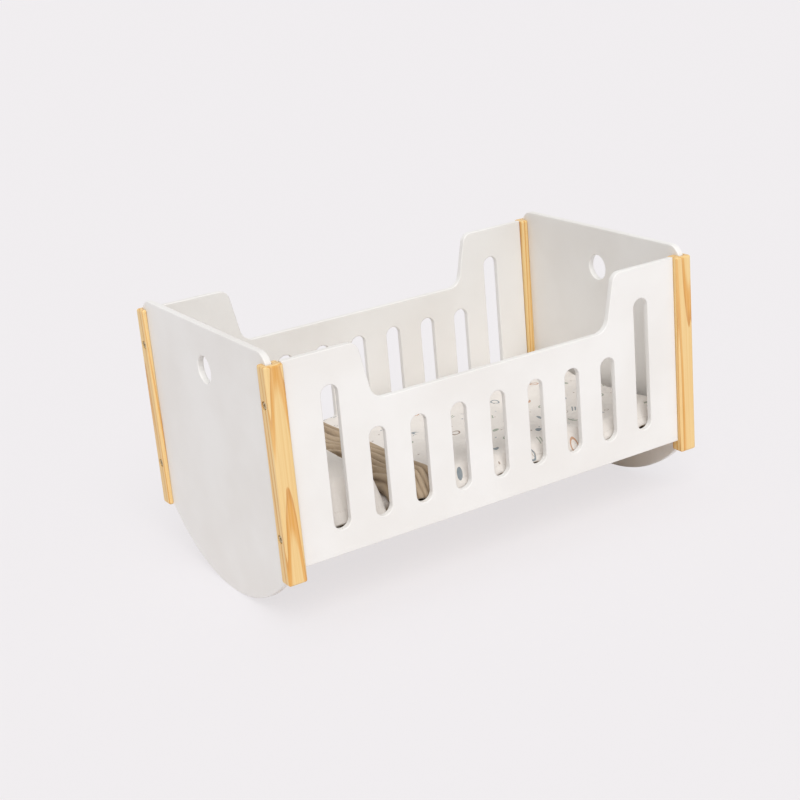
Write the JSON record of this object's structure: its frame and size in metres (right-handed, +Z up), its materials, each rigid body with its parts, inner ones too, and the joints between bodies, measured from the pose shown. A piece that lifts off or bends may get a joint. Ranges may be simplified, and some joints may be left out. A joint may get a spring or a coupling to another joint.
{
  "type": "doll rocking bed",
  "caption": "Toy rocking bed for dolls: slotted side panels and rocker-footed end panels held by corner posts, with base board, mattress, pillow and quilt.",
  "frame": {"origin": "on the floor under the middle of the bed, at the lowest line of the rockers", "axes": "+X along the bed from the pillow at the head (-X) to the foot, +Y across the bed from the front side to the back side, +Z up"},
  "size_m": [0.52, 0.292, 0.2885],
  "materials": {
    "white_paint": "warm white satin paint on board, with softly eased edges",
    "clear_pine": "clear satin lacquer on pine with a bold flame grain",
    "cleat_pine": "planed pine, unfinished",
    "plywood": "sanded light plywood",
    "zinc_steel": "zinc-plated steel, slightly dulled",
    "plain_cotton": "plain woven natural cotton",
    "pillow_cotton": "off-white woven cotton with a sparse muted print",
    "quilt_cotton": "off-white woven cotton with a sparse muted print, beige lining"
  },
  "bodies": {
    "frame": {"post_head_front": "clear_pine", "post_head_back": "clear_pine", "post_foot_front": "clear_pine", "post_foot_back": "clear_pine", "end_panel_head": "white_paint", "end_panel_foot": "white_paint", "side_panel_front": "white_paint", "side_panel_back": "white_paint", "base_cleat_front": "cleat_pine", "base_cleat_back": "cleat_pine", "base_board": "plywood", "screw_head_front_1": "zinc_steel", "screw_head_front_2": "zinc_steel", "screw_head_back_1": "zinc_steel", "screw_head_back_2": "zinc_steel", "screw_foot_front_1": "zinc_steel", "screw_foot_front_2": "zinc_steel", "screw_foot_back_1": "zinc_steel", "screw_foot_back_2": "zinc_steel"},
    "mattress": {"mattress": "plain_cotton"},
    "pillow": {"pillow": "pillow_cotton"},
    "quilt": {"quilt": "quilt_cotton"}
  },
  "joints": [
    {"name": "mattress_lift", "type": "slide", "parent": "frame", "child": "mattress", "axis": [0, 0, 1], "range_m": [0, 0.22]},
    {"name": "pillow_lift", "type": "slide", "parent": "mattress", "child": "pillow", "axis": [0, 0, 1], "range_m": [0, 0.2]},
    {"name": "quilt_lift", "type": "slide", "parent": "mattress", "child": "quilt", "axis": [0, 0, 1], "range_m": [0, 0.2]}
  ]
}
